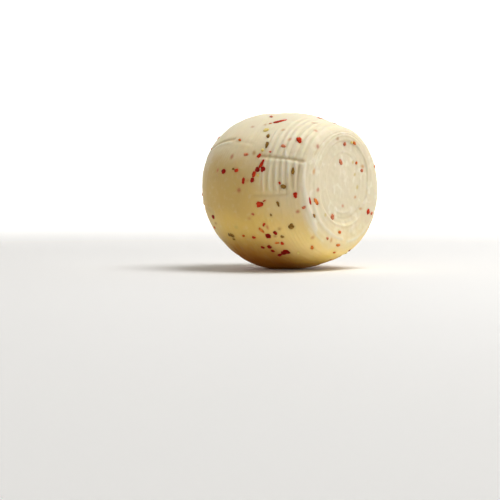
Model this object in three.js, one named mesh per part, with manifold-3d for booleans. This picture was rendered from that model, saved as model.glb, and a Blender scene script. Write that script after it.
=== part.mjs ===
// A small chilli pepper caciotta: a round, mould-pressed cheese that lies on its curved side.
// Millimetres, +Z up. The round's axis runs along X, and the face that shows looks along +X.
// A place on the skin is a path and a turn. The path is measured along the skin from the middle
// of the +X face, over the side, to the middle of the other face. The turn is in degrees around
// the axis, from the top towards -Y.
import * as THREE from "three";
import { mergeVertices } from "three/addons/utils/BufferGeometryUtils.js";
import Module from "manifold-3d";

// Driving dimensions of the round
const HALF_LENGTH = 56.1; // from the middle of the side to each face
const GIRTH = 63.7; // mean radius at the middle of the side
const SQUASH = 0.035; // its own weight makes it wider and lower by this share
const REST_DEPTH = 1.1; // how far the underside is pressed flat
// Each end: share of the girth lost towards it, how square its corner is, and how far it lifts
const SHOWN_END = { taper: 0.23, square: 13, lift: 1.7 };
const HIDDEN_END = { taper: 0.31, square: 4.5, lift: 5.6 };
const FACE_SHARE = 0.75; // beyond this share of the half length the skin belongs to a face

// The mould leaves both faces stepped: round terraces, each lower than the one outside it, around
// a middle that sits above the axis
const TERRACE_RISE = 7.1;
const TERRACE_ZONE = { inner: 34, outer: 50 }; // between these radii their middle slides back
const TERRACES = [
  { radius: 22.4, drop: 0.12 },
  { radius: 32.4, drop: 0.8 },
];
const STEP_WIDTH = 0.9; // from the middle of a step to its foot
const STEP_LIP = 0.15; // how far the rim of each step stands up

// Basket ribs: shallow ribs that run around the side, in one patch of it. The patch reaches over
// these paths and turns and fades out over an end of the paths and a fade of the turns
const RIBS = { pitch: 5.2, height: 0.28, from: 51, to: 87.4, end: 2, top: 34, bottom: 93, fade: 6 };

// Creases run along the path, through the turns given at some paths. Each has a raised lip beside
// it, some degrees to its side
const CREASES = [
  { paths: [48, 64, 89], turns: [63.2, 63, 63], depth: 0.9, lip: 0.12, side: 2.8 },
  { paths: [114, 130, 139, 152], turns: [48.2, 49.4, 51, 53.5], depth: 0.85, lip: 0.25, side: 3.2 },
  { paths: [128, 140, 158], turns: [107, 108, 109], depth: 0.7, lip: 0.2, side: -3 },
];
const CREASE_WIDTH = 1.5; // degrees from its bottom to its edge
const CREASE_END = 4; // over this path each end of a crease fades away

// Rings run around the axis, through the paths given at some turns. A height below zero is a groove
const RINGS = [
  { turns: [60, 75, 88, 100, 120, 138], paths: [49.8, 48, 46.6, 45.6, 45.2, 46.5], height: 0.45, width: 1.3 },
  { turns: [63, 92], paths: [54.6, 53.8], height: -0.4, width: 1.2 },
  { turns: [70, 90], paths: [82.6, 82.2], height: 0.35, width: 0.9 },
  { turns: [105, 140, 182], paths: [41, 41.2, 41.5], height: 0.4, width: 1.1 },
  { turns: [182, 220, 260], paths: [43, 44.8, 45.5], height: 0.45, width: 1.2 },
  { turns: [150, 212], paths: [23.2, 23.2], height: 0.35, width: 1 },
];
const RING_END = 6; // over these degrees each end of a ring fades away

// Two places on top where the soft cheese is flattened
const DENTS = [
  { path: 66, turn: -12, depth: 1.9, reach: 13, spread: 32 },
  { path: 109, turn: 3, depth: 0.9, reach: 9, spread: 25 },
];

// The skin's grid
const COLUMN_STEP = 8; // degrees
const INNER_RADIUS = 10; // of the row around the middle of each face
const RING_ROWS = { from: 38.4, to: 49.8, step: 1.2 }; // paths of the rows where the rings run
const SIDE_STEP = 4.6; // between rows on the smooth part of the side
const OUTLINE_STEPS = 1440;
const NEARBY = 0.4; // path over which the skin's directions are measured
const MERGE_DISTANCE = 1e-4;

// Chilli flakes pressed into the skin: low chips with a bevelled rim and a wavy outline
const FLAKE = { sides: 7, crown: 0.55, rim: 0.3, sunk: 1.3, foot: 0.9, lobes: 3, ripple: 0.16 };
const RIPPLE_SPIN = 10; // radians by which each millimetre of length turns the waves
const SCATTERED_FLAKES = 44;
const FLAKE_GAP = 11; // least distance between the middles of scattered flakes
const FLAKE_LENGTHS = [3.6, 5.8];
const FLAKE_SLIMNESS = [0.5, 0.8];
const REST_CLEARANCE = 7; // flakes stay this far above the flat underside
// The flakes here are placed one by one: on the shown face, and on the side down to a path
const SHOWN_ZONE = { face: 52, side: 150, top: 8, bottom: 165 };
const GENERATOR = { seed: 4127, factor: 16807, modulus: 2147483647 };

// The largest flakes on the side that shows: path, turn, length, width, and the lean of the
// length from the path towards the turn
const SHOWN_FLAKES = [
  [89.6, 26.7, 11, 2.8, 38],
  [102.4, 19.6, 4.4, 2.2, -40],
  [93.6, 38.5, 4, 3.8, 0],
  [88, 44.7, 5.2, 2.4, -58],
  [61.2, 44.4, 6.6, 3.8, -40],
  [70.7, 52.6, 4.2, 2.8, 0],
  [84.7, 53.2, 6.4, 3, -70],
  [87.6, 62.7, 4.8, 2.8, 60],
  [83.4, 69.4, 7, 2.4, 70],
  [81.1, 73.2, 4.2, 4, 0],
  [85.6, 73.5, 4.2, 4, 0],
  [88, 77, 5.5, 3, 75],
  [88.9, 81.3, 3.8, 3.6, 0],
  [96.9, 81.8, 5.8, 2.6, 85],
  [104.3, 74.4, 4, 2.8, 0],
  [116.8, 75.2, 4.6, 3.6, 0],
  [57.2, 72.8, 6.4, 2.4, 90],
  [63, 86.2, 4.6, 3.2, -10],
  [54.2, 93.5, 4.6, 3.4, 90],
  [82.6, 99, 6, 4.6, 10],
  [86.4, 119, 6, 2.6, -55],
  [61.6, 120, 5, 4.8, 0],
  [75.5, 122.6, 3.8, 3, 90],
  [82.2, 124.4, 5, 4.3, 0],
  [116.2, 123.4, 6.4, 3.4, -5],
  [77.8, 131.7, 4, 2.2, 0],
  [74.3, 133.2, 3.8, 2.4, 70],
  [86.3, 134.6, 4, 3.8, 0],
  [76.6, 142.7, 7, 5, 10],
  [82.7, 144.4, 5, 3, 25],
  [133, 111.6, 4.8, 3, 30],
  [56.3, 147.6, 5.5, 2.4, 60],
  [38.4, 110.2, 7.4, 3.2, -72],
  [43.9, 103, 6.2, 2.2, 80],
  [43.6, 119.7, 4, 2.6, -75],
  [29.6, 151.4, 4.8, 4.4, 0],
  [45.2, 172.3, 5.4, 2.2, 88],
  [37.8, 170.8, 4.4, 2.4, 90],
  [15.8, 11, 5.6, 3.2, 40],
  [29.5, 294.8, 4.8, 2.8, 145],
  [29.3, 357, 3.8, 2.8, 90],
  [33, 336, 4.4, 2.4, 84],
  [39, 235.8, 5, 4, 70],
  [43.3, 240, 4.2, 2.2, 55],
];

const MATERIALS = {
  caciotta: { color: 0xdccfa8, roughness: 0.5, metalness: 0 },
};

const wasm = await Module();
wasm.setup();

const smooth = (from, to, x) => THREE.MathUtils.smoothstep(x, from, to);
// 1 between two values, falling to 0 at them over a margin
const between = (from, to, x, margin) => smooth(from, from + margin, x) * (1 - smooth(to - margin, to, x));
const bump = (x, width) => Math.exp(-((x / width) ** 2));
const radians = THREE.MathUtils.degToRad;
// The same turn, counted from -180 to 180
const fromTop = (turn) => (turn > 180 ? turn - 360 : turn);

// Evenly spaced values from one number to another, both included.
function spread(from, to, step) {
  const count = Math.round((to - from) / step);
  return Array.from({ length: count + 1 }, (_, i) => THREE.MathUtils.lerp(from, to, i / count));
}

// The value at x of the broken line through points (xs, ys), level beyond its ends.
function brokenLine(xs, ys, x) {
  const after = xs.findIndex((value) => value >= x);
  if (after === -1) return ys.at(-1);
  if (after === 0) return ys[0];
  const share = (x - xs[after - 1]) / (xs[after] - xs[after - 1]);
  return THREE.MathUtils.lerp(ys[after - 1], ys[after], share);
}

// A repeatable run of numbers between two values.
let drawn = GENERATOR.seed;
function draw(low = 0, high = 1) {
  drawn = (drawn * GENERATOR.factor) % GENERATOR.modulus;
  return low + ((high - low) * drawn) / GENERATOR.modulus;
}

// Half of the round's outline, from face to face: along the axis, out from it, and the path.
function makeOutline() {
  const outline = { xs: [], radii: [], paths: [] };
  let path = 0;
  for (let i = 0; i <= OUTLINE_STEPS; i++) {
    const angle = (Math.PI * i) / OUTLINE_STEPS;
    const end = i < OUTLINE_STEPS / 2 ? SHOWN_END : HIDDEN_END;
    const share = Math.abs(Math.cos(angle)) ** (2 / end.square);
    const corner = Math.abs(Math.sin(angle)) ** (2 / end.square);
    const x = Math.sign(Math.cos(angle)) * share * HALF_LENGTH;
    const radius = GIRTH * (1 - end.taper * share ** 2) * corner;
    if (i > 0) path += Math.hypot(x - outline.xs.at(-1), radius - outline.radii.at(-1));
    outline.xs.push(x);
    outline.radii.push(radius);
    outline.paths.push(path);
  }
  return outline;
}

const OUTLINE = makeOutline();
const PATH_LENGTH = OUTLINE.paths.at(-1);
const MIDDLE_OF_SIDE = OUTLINE.paths[OUTLINE_STEPS / 2];

// The outline's point at a path.
function outlineAt(path) {
  const x = brokenLine(OUTLINE.paths, OUTLINE.xs, path);
  const radius = brokenLine(OUTLINE.paths, OUTLINE.radii, path);
  return { x, radius };
}

const isFace = ({ x }) => Math.abs(x) > FACE_SHARE * HALF_LENGTH;

// How far an outline point belongs to the terraces, whose circles have their own middle.
function terraceShare(spot) {
  return isFace(spot) ? 1 - smooth(TERRACE_ZONE.inner, TERRACE_ZONE.outer, spot.radius) : 0;
}

// Height of the middle of the circle at an outline point. The ends lift off the table a little.
function middleHeight(spot) {
  const end = spot.x > 0 ? SHOWN_END : HIDDEN_END;
  const lifted = end.lift * (spot.x / HALF_LENGTH) ** 2;
  return THREE.MathUtils.lerp(lifted, TERRACE_RISE, terraceShare(spot));
}

function terraceRelief(path) {
  const spot = outlineAt(path);
  let height = 0;
  for (const { radius, drop } of isFace(spot) ? TERRACES : []) {
    height -= drop * (1 - smooth(radius - STEP_WIDTH, radius + STEP_WIDTH, spot.radius));
    height += STEP_LIP * bump(spot.radius - radius - STEP_WIDTH, STEP_WIDTH);
  }
  return height;
}

function ribRelief(path, turn) {
  const along = between(RIBS.from, RIBS.to, path, RIBS.end);
  const around = between(RIBS.top, RIBS.bottom, fromTop(turn), RIBS.fade);
  return RIBS.height * along * around * Math.cos((2 * Math.PI * (path - RIBS.from)) / RIBS.pitch);
}

function creaseRelief(path, turn) {
  let height = 0;
  for (const { paths, turns, depth, lip, side } of CREASES) {
    const ends = between(paths[0], paths.at(-1), path, CREASE_END);
    const off = turn - brokenLine(paths, turns, path);
    height += ends * (lip * bump(off - side, CREASE_WIDTH) - depth * bump(off, CREASE_WIDTH));
  }
  return height;
}

function ringRelief(path, turn) {
  let total = 0;
  for (const { paths, turns, height, width } of RINGS) {
    const ends = between(turns[0], turns.at(-1), turn, RING_END);
    total += height * ends * bump(path - brokenLine(turns, paths, turn), width);
  }
  return total;
}

function dentRelief(path, turn) {
  let height = 0;
  for (const dent of DENTS) {
    const share = bump(path - dent.path, dent.reach) * bump(fromTop(turn) - dent.turn, dent.spread);
    height -= dent.depth * share;
  }
  return height;
}

// How far the skin stands out from the plain round.
function relief(path, turn) {
  const marks = terraceRelief(path) + ribRelief(path, turn) + creaseRelief(path, turn);
  return marks + ringRelief(path, turn) + dentRelief(path, turn);
}

// The plain round's surface point, before the relief.
function plainPoint(path, turn) {
  const spot = outlineAt(path);
  const squash = SQUASH * (1 - terraceShare(spot));
  return new THREE.Vector3(
    spot.x,
    -spot.radius * (1 + squash) * Math.sin(radians(turn)),
    spot.radius * (1 - squash) * Math.cos(radians(turn)) + middleHeight(spot),
  );
}

// Height of the flat underside, measured from the axis.
const UNDERSIDE = plainPoint(MIDDLE_OF_SIDE, 180).z + REST_DEPTH;

// Directions on the skin at a place: along the path, around the axis, and out of the cheese.
function directionsAt(path, turn) {
  const along = plainPoint(path + NEARBY, turn).sub(plainPoint(path - NEARBY, turn)).normalize();
  const angle = radians(turn);
  const sideways = new THREE.Vector3(0, -Math.cos(angle), -Math.sin(angle));
  const out = new THREE.Vector3().crossVectors(along, sideways).normalize();
  const around = new THREE.Vector3().crossVectors(out, along);
  return { along, around, out };
}

function skinPoint(path, turn) {
  const { out } = directionsAt(path, turn);
  return plainPoint(path, turn).addScaledVector(out, relief(path, turn));
}

// The path at which the outline first reaches a radius, from the shown or from the hidden face.
function pathAtRadius(radius, hidden) {
  const reached = (value) => value >= radius;
  const index = hidden ? OUTLINE.radii.findLastIndex(reached) : OUTLINE.radii.findIndex(reached);
  return OUTLINE.paths[index];
}

// Paths of the rows on a face: around its middle, and at the foot and rim of each terrace.
function faceRows(hidden) {
  const radii = [INNER_RADIUS];
  for (const { radius } of TERRACES) {
    radii.push(radius - STEP_WIDTH, radius + STEP_WIDTH, radius + 3 * STEP_WIDTH);
  }
  return radii.map((radius) => pathAtRadius(radius, hidden));
}

// Paths of all rows: close together on the rings, at the crests and troughs of the ribs, and
// wider apart elsewhere.
function rowPaths() {
  const ringRows = spread(RING_ROWS.from, RING_ROWS.to, RING_ROWS.step);
  const ribRows = spread(RIBS.from, RIBS.to, RIBS.pitch / 2);
  const backRows = faceRows(true).reverse();
  const sideRows = spread(RIBS.to + SIDE_STEP, backRows[0] - SIDE_STEP, SIDE_STEP);
  return [...faceRows(false), ...ringRows, ...ribRows, ...sideRows, ...backRows];
}

// Turns of the columns that carry one crease and its lip.
function creaseTurns({ turns, side }) {
  const from = Math.min(...turns) + Math.min(side, 0) - CREASE_WIDTH;
  const to = Math.max(...turns) + Math.max(side, 0) + CREASE_WIDTH;
  return spread(from, to, CREASE_WIDTH);
}

// Turns of all columns: even, with a few close together across each crease.
function columnTurns() {
  const turns = CREASES.flatMap(creaseTurns);
  for (let turn = 0; turn < 360; turn += COLUMN_STEP) {
    if (turns.every((other) => Math.abs(other - turn) > COLUMN_STEP / 3)) turns.push(turn);
  }
  return turns.sort((a, b) => a - b);
}

// The cheese's skin, closed with a fan at the middle of each face.
function skinGeometry() {
  const rows = rowPaths();
  const turns = columnTurns();
  const columns = turns.length;
  const points = rows.flatMap((path) => turns.map((turn) => skinPoint(path, turn)));
  const firstPole = points.length;
  points.push(skinPoint(0, 0), skinPoint(PATH_LENGTH, 0));
  const triangles = [];
  for (let column = 0; column < columns; column++) {
    const next = (column + 1) % columns;
    for (let row = 0; row + 1 < rows.length; row++) {
      const [a, b] = [row * columns + column, row * columns + next];
      triangles.push(a, a + columns, b, b, a + columns, b + columns);
    }
    const lastRow = (rows.length - 1) * columns;
    triangles.push(firstPole, column, next, firstPole + 1, lastRow + next, lastRow + column);
  }
  return new THREE.BufferGeometry().setFromPoints(points).setIndex(triangles);
}

// One chilli flake in its own place: its foot is sunk in the cheese and its crown stands proud.
function flakeGeometry([path, turn, length, width, lean]) {
  const profile = [[0, -FLAKE.sunk], [FLAKE.foot, -FLAKE.sunk], [1, FLAKE.rim], [0, FLAKE.crown]];
  const points = profile.map(([radius, height]) => new THREE.Vector2(radius, height));
  const geometry = new THREE.LatheGeometry(points, FLAKE.sides).rotateX(Math.PI / 2);
  const corners = geometry.getAttribute("position");
  for (let i = 0; i < corners.count; i++) {
    const angle = Math.atan2(corners.getY(i), corners.getX(i));
    const swell = 1 + FLAKE.ripple * Math.cos(FLAKE.lobes * angle + length * RIPPLE_SPIN);
    corners.setX(i, (corners.getX(i) * swell * length) / 2);
    corners.setY(i, (corners.getY(i) * swell * width) / 2);
  }
  const { along, around, out } = directionsAt(path, turn);
  const place = new THREE.Matrix4()
    .makeRotationAxis(out, radians(lean))
    .multiply(new THREE.Matrix4().makeBasis(along, around, out))
    .setPosition(skinPoint(path, turn));
  return geometry.applyMatrix4(place);
}

// Whether a place lies on the part of the skin whose flakes are placed one by one.
function isShown(path, turn) {
  const onSide = path < SHOWN_ZONE.side && turn > SHOWN_ZONE.top && turn < SHOWN_ZONE.bottom;
  return path < SHOWN_ZONE.face || onSide;
}

// Flakes over the rest of the skin: drawn places, kept where they are clear of one another.
function scatteredFlakes() {
  const flakes = [];
  const taken = SHOWN_FLAKES.map(([path, turn]) => plainPoint(path, turn));
  while (flakes.length < SCATTERED_FLAKES) {
    const path = draw(0, PATH_LENGTH);
    const turn = draw(0, 360);
    const radiusShare = draw();
    const length = draw(...FLAKE_LENGTHS);
    const width = length * draw(...FLAKE_SLIMNESS);
    const lean = draw(0, 180);
    const point = plainPoint(path, turn);
    // a face has less skin near its middle, so fewer draws are kept there
    const even = radiusShare < outlineAt(path).radius / GIRTH;
    const clear = taken.every((other) => other.distanceTo(point) > FLAKE_GAP);
    const above = point.z > UNDERSIDE + REST_CLEARANCE;
    if (even && clear && above && !isShown(path, turn)) {
      taken.push(point);
      flakes.push([path, turn, length, width, lean]);
    }
  }
  return flakes;
}

function toManifold(geometry) {
  geometry.deleteAttribute("normal");
  geometry.deleteAttribute("uv");
  const merged = mergeVertices(geometry, MERGE_DISTANCE);
  const vertProperties = new Float32Array(merged.getAttribute("position").array);
  const triVerts = new Uint32Array(merged.index.array);
  return new wasm.Manifold(new wasm.Mesh({ numProp: 3, vertProperties, triVerts }));
}

function toGeometry(manifold) {
  const { vertProperties, triVerts } = manifold.getMesh();
  const geometry = new THREE.BufferGeometry();
  geometry.setAttribute("position", new THREE.Float32BufferAttribute(vertProperties, 3));
  geometry.setIndex(new THREE.Uint32BufferAttribute(triVerts, 1));
  return geometry;
}

// What lies below the flat underside, to be cut away.
function belowUnderside() {
  const side = 4 * GIRTH;
  return new THREE.BoxGeometry(side, side, side).translate(0, 0, UNDERSIDE - side / 2);
}

function caciottaMesh() {
  let solid = toManifold(skinGeometry());
  for (const flake of [...SHOWN_FLAKES, ...scatteredFlakes()]) {
    solid = solid.add(toManifold(flakeGeometry(flake)));
  }
  solid = solid.subtract(toManifold(belowUnderside()));
  const material = new THREE.MeshStandardMaterial(MATERIALS.caciotta);
  const mesh = new THREE.Mesh(toGeometry(solid), material);
  mesh.name = "caciotta";
  return mesh;
}

// Puts the origin under the middle of the mesh's box, on the surface that it rests on.
function standOnOrigin(mesh) {
  mesh.geometry.computeBoundingBox();
  const { min, max } = mesh.geometry.boundingBox;
  mesh.position.set(-(min.x + max.x) / 2, -(min.y + max.y) / 2, -min.z);
}

const cheese = new THREE.Group();
const caciotta = caciottaMesh();
standOnOrigin(caciotta);
cheese.add(caciotta);

export default cheese;
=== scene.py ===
# %% [markdown]
# # A small chilli pepper caciotta
#
# The real thing is a fresh, mould-pressed cheese of about a kilogram, ivory and waxy, with chilli
# flakes stirred through the curd. It lies on its curved side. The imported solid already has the
# true form with the largest flakes fused on, but in one material. This lesson makes the finished
# skin and the separate flakes over it, so each can have a finish of its own.

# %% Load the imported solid
import math

import bmesh
import bpy
import numpy as np
from mathutils import Euler, Matrix, Vector, noise


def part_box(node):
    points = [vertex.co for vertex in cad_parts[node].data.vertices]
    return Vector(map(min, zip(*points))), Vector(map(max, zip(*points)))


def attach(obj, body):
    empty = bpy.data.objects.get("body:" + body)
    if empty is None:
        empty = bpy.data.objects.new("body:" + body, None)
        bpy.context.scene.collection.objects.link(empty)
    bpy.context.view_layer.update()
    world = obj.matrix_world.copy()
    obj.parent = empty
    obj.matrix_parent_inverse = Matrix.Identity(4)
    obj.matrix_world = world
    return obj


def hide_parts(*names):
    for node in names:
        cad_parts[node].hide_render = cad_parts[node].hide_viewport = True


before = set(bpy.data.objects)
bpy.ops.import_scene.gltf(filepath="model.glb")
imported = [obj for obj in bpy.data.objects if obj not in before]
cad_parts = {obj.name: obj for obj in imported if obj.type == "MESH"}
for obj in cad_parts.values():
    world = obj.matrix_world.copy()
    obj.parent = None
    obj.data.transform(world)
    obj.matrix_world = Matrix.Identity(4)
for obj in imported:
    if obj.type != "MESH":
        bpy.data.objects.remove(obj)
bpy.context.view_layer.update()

MM = 0.001
NODE = "caciotta"
low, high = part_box(NODE)
print("the solid is", [round(size / MM, 1) for size in high - low], "mm")

# %% [markdown]
# ## The outline of the round
#
# Any place on the skin is told by two numbers. The path is measured along the skin from the
# middle of the shown face, over the side, to the middle of the hidden face. The turn is in degrees
# around the axis, from the top towards the viewer. A plain lathe profile would do for a perfect
# wheel, but a soft cheese sags: its ends taper, lift off the table and have corners of their own.
# A superellipse with a separate taper and corner for each end gives all that from a few numbers.

# %% The outline
HALF_LENGTH = 56.1
GIRTH = 63.7
SQUASH = 0.035  # its own weight makes it wider and lower by this share
REST_DEPTH = 1.1  # how far the underside is pressed flat
OUTLINE_STEPS = 1440
SHOWN_END = {"taper": 0.23, "square": 13, "lift": 1.7}
HIDDEN_END = {"taper": 0.31, "square": 4.5, "lift": 5.6}
FACE_SHARE = 0.75  # beyond this share of the half length the skin belongs to a face

angle = np.linspace(0, math.pi, OUTLINE_STEPS + 1)
shown_half = np.arange(OUTLINE_STEPS + 1) < OUTLINE_STEPS / 2


def per_end(key):
    return np.where(shown_half, SHOWN_END[key], HIDDEN_END[key])


share = np.abs(np.cos(angle)) ** (2 / per_end("square"))
corner = np.abs(np.sin(angle)) ** (2 / per_end("square"))
outline_x = np.sign(np.cos(angle)) * share * HALF_LENGTH
outline_radius = GIRTH * (1 - per_end("taper") * share**2) * corner
outline_steps = np.hypot(np.diff(outline_x), np.diff(outline_radius))
outline_path = np.concatenate([[0], np.cumsum(outline_steps)])
PATH_LENGTH = outline_path[-1]
MIDDLE = outline_path[OUTLINE_STEPS // 2]
print("the skin is", round(PATH_LENGTH), "mm from face to face, and its middle is at", round(MIDDLE))


def x_at(path):
    return np.interp(path, outline_path, outline_x)


def radius_at(path):
    return np.interp(path, outline_path, outline_radius)


# %% [markdown]
# ## Marks of the mould
#
# The faces step down in round terraces whose middle sits above the axis, because the cheese
# slumped in its mould. Ribs of the basket run around the side, clearest in one patch, and creases
# run across them where the mould's parts met. All of these could be painted as bump, but they
# also cut the silhouette and catch light, so they are real relief of the mesh.

# %% Relief helpers
def smooth(start, end, x):
    t = np.clip((x - start) / (end - start), 0, 1)
    return t * t * (3 - 2 * t)


def between(start, end, x, margin):
    return smooth(start, start + margin, x) * (1 - smooth(end - margin, end, x))


def bump(x, width):
    return np.exp(-((x / width) ** 2))


def from_top(turn):
    return np.where(turn > 180, turn - 360, turn)


# %% Terraces and the raised middle
TERRACE_RISE = 7.1  # how far their middle sits above the axis
TERRACE_ZONE = (34, 50)  # between these radii their middle slides back
TERRACES = [(22.4, 0.12), (32.4, 0.8)]  # radius, drop
STEP_WIDTH = 0.9
STEP_LIP = 0.15


def on_face(path):
    return np.abs(x_at(path)) > FACE_SHARE * HALF_LENGTH


def terrace_share(path):
    return np.where(on_face(path), 1 - smooth(*TERRACE_ZONE, radius_at(path)), 0)


def middle_height(path):
    x = x_at(path)
    lift = np.where(x > 0, SHOWN_END["lift"], HIDDEN_END["lift"]) * (x / HALF_LENGTH) ** 2
    return lift + (TERRACE_RISE - lift) * terrace_share(path)


def terrace_relief(path):
    radius = radius_at(path)
    height = np.zeros_like(radius)
    for step_radius, drop in TERRACES:
        height -= drop * (1 - smooth(step_radius - STEP_WIDTH, step_radius + STEP_WIDTH, radius))
        height += STEP_LIP * bump(radius - step_radius - STEP_WIDTH, STEP_WIDTH)
    return np.where(on_face(path), height, 0)


# %% [markdown]
# A rib patch has ridges at an even pitch that lean a little as they run around. Two patches meet
# at the main crease, where their ridges miss each other by half a pitch. A third, fainter one
# carries the upper ribs on towards the top, and a fourth is the fine fan below the left crease.

# %% Rib patches
RIB_PATCHES = [
    {"pitch": 5.1, "ridge": 66.8, "turn": 66, "lean": -0.15, "height": 0.42,
     "from": 52, "to": 83, "top": 60, "bottom": 93, "fade": 6},
    {"pitch": 5.3, "ridge": 66.4, "turn": 52, "lean": -0.06, "height": 0.28,
     "from": 50, "to": 86, "top": 34, "bottom": 66, "fade": 6},
    {"pitch": 5.3, "ridge": 66.4, "turn": 52, "lean": -0.06, "height": 0.22,
     "from": 48, "to": 80, "top": 2, "bottom": 47, "fade": 12},
    {"pitch": 2.6, "ridge": 124, "turn": 62, "lean": 0.25, "height": 0.16,
     "from": 112, "to": 134, "top": 56, "bottom": 72, "fade": 5},
]
RIB_END = 2  # over this path each end of a patch fades away


def ridges(path, pitch, ridge=0.0):
    """A wave along the path that is 1 on each ridge. One of the ridges lies at the given path."""
    return np.cos(2 * math.pi * (path - ridge) / pitch)


def rib_relief(path, turn):
    turn = from_top(turn)
    height = 0
    for patch in RIB_PATCHES:
        ridge = patch["ridge"] + patch["lean"] * (turn - patch["turn"])
        along = between(patch["from"], patch["to"], path, RIB_END)
        around = between(patch["top"], patch["bottom"], turn, patch["fade"])
        height = height + patch["height"] * along * around * ridges(path, patch["pitch"], ridge)
    return height


# %% [markdown]
# A crease runs along the path and a ring runs around it. Each is a line through a few points with
# soft ends. A crease has a depth and a raised lip a little to its side, a ring a height and a width.

# %% Creases and rings
CREASES = [
    # paths, turns, depth, lip, side of the lip
    ((48, 64, 89), (63.2, 63, 63), 0.9, 0.3, 2.8),
    ((114, 130, 139, 152), (48.2, 49.4, 51, 53.5), 0.9, 0.5, 3.2),
    ((95, 108, 122), (53.2, 51.8, 51), 0.2, 0.14, 2.6),
    ((128, 140, 158), (107, 108, 109), 0.7, 0.2, -3),
    ((114, 146), (79.5, 79.5), 0.25, 0, 3),
    ((57, 90), (92.6, 92.6), 0.5, 0, 3),
]
CREASE_WIDTH = 1.5  # degrees
CREASE_END = 4  # over this path each end fades away
RINGS = [
    # turns, paths, height, width
    ((60, 75, 88, 100, 120, 138), (49.8, 48.4, 47.3, 46.3, 45, 46.5), 0.7, 1.5),
    ((63, 94), (53.6, 52.6), -0.45, 1.5),
    ((70, 91), (57.4, 57), -0.34, 3.2),
    ((70, 90), (82.6, 82.2), 0.35, 0.9),
    ((105, 140, 182), (41, 41.2, 41.5), 0.55, 1.1),
    ((182, 220, 260), (43, 44.8, 45.5), 0.45, 1.2),
    ((150, 196), (23, 22.8), 0.25, 1.1),
    ((138, 180, 222), (33.8, 33.6, 33.2), 0.3, 0.9),
    ((50, 60, 64, 70, 78), (70.4, 66, 63.8, 62, 59.8), 0.5, 0.8),
    ((108, 154), (48.6, 47.6), 0.35, 0.9),
    ((160, 232), (27.4, 28.6), -0.35, 1.6),
    ((-40, 70), (36.4, 36.8), 0.35, 0.9),
    ((-20, 75), (40.2, 40.6), 0.4, 0.9),
    ((-40, 60), (43.6, 44), -0.4, 1.0),
]
RING_END = 6  # over these degrees each end fades away
LAST_RING_TURN = 300  # turns past this one count as negative, for the rings that cross the top


def crease_relief(path, turn):
    height = 0
    for paths, turns, depth, lip, side in CREASES:
        ends = between(paths[0], paths[-1], path, CREASE_END)
        off = turn - np.interp(path, paths, turns)
        height = height - depth * ends * bump(off, CREASE_WIDTH)
        height = height + lip * ends * bump(off - side, CREASE_WIDTH)
    return height


def ring_relief(path, turn):
    turn = np.where(turn > LAST_RING_TURN, turn - 360, turn)
    height = 0
    for turns, paths, rise, width in RINGS:
        ends = between(turns[0], turns[-1], turn, RING_END)
        height = height + rise * ends * bump(path - np.interp(turn, turns, paths), width)
    return height


# %% [markdown]
# The soft cheese is also a little flattened in two places on top, where it was lifted out.

# %% Dents and the whole relief
DENTS = [
    {"path": 66, "turn": -12, "depth": 1.9, "reach": 13, "spread": 32},
    {"path": 109, "turn": 3, "depth": 0.9, "reach": 9, "spread": 25},
]


def dent_relief(path, turn):
    turn = from_top(turn)
    return -sum(dent["depth"] * bump(path - dent["path"], dent["reach"])
                * bump(turn - dent["turn"], dent["spread"]) for dent in DENTS)


def relief(path, turn):
    return (terrace_relief(path) + rib_relief(path, turn) + crease_relief(path, turn)
            + ring_relief(path, turn) + dent_relief(path, turn))


# %% [markdown]
# With the relief known, any path and turn gives a point of the skin, and the directions along it,
# around it and out of it.

# %% Points and directions
NEAR = 0.4  # path over which the skin's directions are measured


def plain_point(path, turn):
    squash = SQUASH * (1 - terrace_share(path))
    radius = radius_at(path)
    y = -radius * (1 + squash) * np.sin(np.radians(turn))
    z = radius * (1 - squash) * np.cos(np.radians(turn)) + middle_height(path)
    return np.stack([x_at(path) + 0 * turn, y, z], -1)


def unit(vectors):
    return vectors / np.linalg.norm(vectors, axis=-1, keepdims=True)


def directions_at(path, turn):
    along = unit(plain_point(path + NEAR, turn) - plain_point(path - NEAR, turn))
    sideways = np.stack([0 * turn, -np.cos(np.radians(turn)), -np.sin(np.radians(turn))], -1)
    out = unit(np.cross(along, sideways))
    return along, np.cross(out, along), out


underside = float(plain_point(np.array(MIDDLE), np.array(180.0))[2]) + REST_DEPTH

# %% [markdown]
# ## Finer relief for the skin
#
# Up close the skin isn't clean: it is softly dented, the basket's finer weave shows as faint
# ribs, and small curds leave shallow pits. These are too fine for the solid, and a bump texture
# would vanish at the silhouette, so they are added to the mesh as layers of smooth noise. Each
# layer's seed says where its noise is read, so that no two layers look alike.

# %% Smooth noise
def noise_at(points, size, seed=0.0):
    return np.array([noise.noise(Vector(point) / size + Vector((seed, 0, 0))) for point in points])


def streak_noise(path, turn, size, lobes, seed):
    """Noise drawn out around the axis. It changes fast along the path and slowly with the turn."""
    angle = np.radians(turn)
    places = np.stack([lobes * np.cos(angle), lobes * np.sin(angle), path / size], -1)
    return noise_at(places, 1.0, seed)


# %% The weave
WEAVE = {"pitch": 2.6, "height": 0.1, "end": 44, "fade": 8}
SHOULDER = {"pitch": 3.3, "height": 0.25, "from": 40, "to": 74, "fade": 10,
            "top": -70, "bottom": 46, "turn fade": 25}
PATCHES = {"size": 18, "seed": 7.3, "mean": 0.6, "swing": 1.8, "most": 1.3}


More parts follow.
